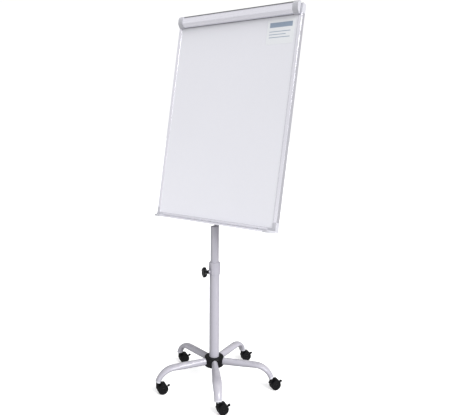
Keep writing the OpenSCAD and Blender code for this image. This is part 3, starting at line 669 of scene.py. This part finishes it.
FLOOR_HALF = 30
floor_mesh = bpy.data.meshes.new("studio_floor")
floor_corners = [(x * FLOOR_HALF, y * FLOOR_HALF, 0) for x, y in ((-1, -1), (1, -1), (1, 1), (-1, 1))]
floor_mesh.from_pydata(floor_corners, [], [(0, 1, 2, 3)])
floor = bpy.data.objects.new("studio_floor", floor_mesh)
bpy.context.scene.collection.objects.link(floor)
floor_mat = Nodes("pale_floor")
pale = floor_mat.mix(floor_mat.span(floor_mat.noise(3.0), 0, 1), (0.93, 0.93, 0.935, 1),
                     (0.95, 0.95, 0.955, 1))
floor_mat.link(pale, floor_mat.bsdf.inputs["Base Color"])
floor_mat.bsdf.inputs["Roughness"].default_value = 0.9
floor_mat.bsdf.inputs["Specular IOR Level"].default_value = 0.1
floor_mat.bsdf.inputs["Emission Color"].default_value = (1.0, 1.0, 1.0, 1.0)
floor_mat.bsdf.inputs["Emission Strength"].default_value = 0.45
floor_mesh.materials.append(floor_mat.mat)
floor.visible_diffuse = False
floor.visible_glossy = False

# ---------- light ----------

# Reflections see a world that is bright in front of the object, dark behind it and fairly bright to its
# right. Diffuse light is evener, and stronger from the right. The camera sees plain white.
# Brightness of reflections by height, from straight down (-1) to straight up (1)
SKY_STOPS = [(-1.0, 0.5), (-0.85, 0.8), (-0.5, 0.95), (0.0, 1.12), (0.7, 1.05), (1.0, 0.95)]
# What is left of it behind the object, near the horizon and high up, and beside it
BEHIND_LOW, BEHIND_HIGH = 0.5, 0.08
BESIDE = 0.68
EVEN_LEFT, EVEN_RIGHT = 0.26, 0.82
BACKGROUND = 1.05

world = bpy.data.worlds.new("studio")
bpy.context.scene.world = world
world.use_nodes = True
tree = world.node_tree
surroundings = tree.nodes["Background"]
coord = tree.nodes.new("ShaderNodeTexCoord")
split = tree.nodes.new("ShaderNodeSeparateXYZ")
tree.links.new(coord.outputs["Generated"], split.inputs["Vector"])
towards_x, towards_y, towards_z = split.outputs["X"], split.outputs["Y"], split.outputs["Z"]

ramp = tree.nodes.new("ShaderNodeValToRGB")
tree.links.new(map_range(tree, towards_z, -1.0, 1.0, 0.0, 1.0), ramp.inputs["Fac"])
while len(ramp.color_ramp.elements) < len(SKY_STOPS):
    ramp.color_ramp.elements.new(0.5)
for element, (z, level) in zip(ramp.color_ramp.elements, SKY_STOPS):
    element.position = (z + 1) / 2
    element.color = (level, level, level, 1.0)
tree.links.new(ramp.outputs["Color"], surroundings.inputs["Color"])

back_level = map_range(tree, towards_z, 0.15, 0.5, BEHIND_LOW, BEHIND_HIGH)
brighter = tree.nodes.new("ShaderNodeMath")
brighter.operation = "MAXIMUM"
tree.links.new(map_range(tree, towards_y, -0.2, 0.08, 1.0, back_level), brighter.inputs[0])
tree.links.new(map_range(tree, towards_x, 0.0, 0.35, 0.0, BESIDE), brighter.inputs[1])
tree.links.new(brighter.outputs["Value"], surroundings.inputs["Strength"])
paths = tree.nodes.new("ShaderNodeLightPath")


def background(level):
    """White light, of a strength that is a value or an output."""
    node = tree.nodes.new("ShaderNodeBackground")
    node.inputs["Color"].default_value = (1.0, 1.0, 1.0, 1.0)
    feed(tree, level, node.inputs["Strength"])
    return node.outputs["Background"]


def choose(ray, otherwise, when):
    """One light for a kind of ray, and another for all the rest."""
    node = tree.nodes.new("ShaderNodeMixShader")
    tree.links.new(paths.outputs[ray], node.inputs["Fac"])
    tree.links.new(otherwise, node.inputs[1])
    tree.links.new(when, node.inputs[2])
    return node.outputs["Shader"]


even = background(map_range(tree, towards_x, -1.0, 1.0, EVEN_LEFT, EVEN_RIGHT))
lit = choose("Is Diffuse Ray", surroundings.outputs["Background"], even)
seen = choose("Is Camera Ray", lit, background(BACKGROUND))
tree.links.new(seen, tree.nodes["World Output"].inputs["Surface"])


def place_light(name, kind, energy, position, target, **values):
    """A light at position that points at target."""
    data = bpy.data.lights.new(name, kind)
    data.energy = energy
    for key, value in values.items():
        setattr(data, key, value)
    obj = bpy.data.objects.new(name, data)
    obj.location = position
    obj.rotation_euler = (Vector(target) - Vector(position)).to_track_quat("-Z", "Y").to_euler()
    bpy.context.scene.collection.objects.link(obj)


KEY_AZIMUTH, KEY_HEIGHT, KEY_DISTANCE = math.radians(76), math.radians(35), 3
key_from = (KEY_DISTANCE * math.sin(KEY_AZIMUTH) * math.cos(KEY_HEIGHT),
            -KEY_DISTANCE * math.cos(KEY_AZIMUTH) * math.cos(KEY_HEIGHT),
            KEY_DISTANCE * math.sin(KEY_HEIGHT))
place_light("key", "SUN", 3.0, key_from, (0, 0, 0), angle=math.radians(30))
place_light("low_front", "AREA", 8.0, (-0.3, -2.0, 0.4), (0.0, 0.0, 1.0), size=1.0)

# ---------- camera ----------

# Fitted to the photograph's straight edges
CAMERA_AT = (1.4458, -1.9004, 1.2843)
YAW, DOWN, ROLL = math.radians(35.499), math.radians(9.31), math.radians(0.622)
camera_data = bpy.data.cameras.new("camera")
camera_data.lens = 39.89
camera_data.sensor_width = 36.0
camera_data.sensor_fit = "HORIZONTAL"
camera_data.clip_start = 0.05
camera_data.clip_end = 100.0
camera = bpy.data.objects.new("camera", camera_data)
camera.matrix_world = (Matrix.Translation(CAMERA_AT) @ Matrix.Rotation(YAW, 4, "Z")
                       @ Matrix.Rotation(math.pi / 2 - DOWN, 4, "X") @ Matrix.Rotation(ROLL, 4, "Z"))
bpy.context.scene.collection.objects.link(camera)
bpy.context.scene.camera = camera
bpy.context.scene.view_settings.view_transform = "Standard"
bpy.context.scene.view_settings.look = "None"
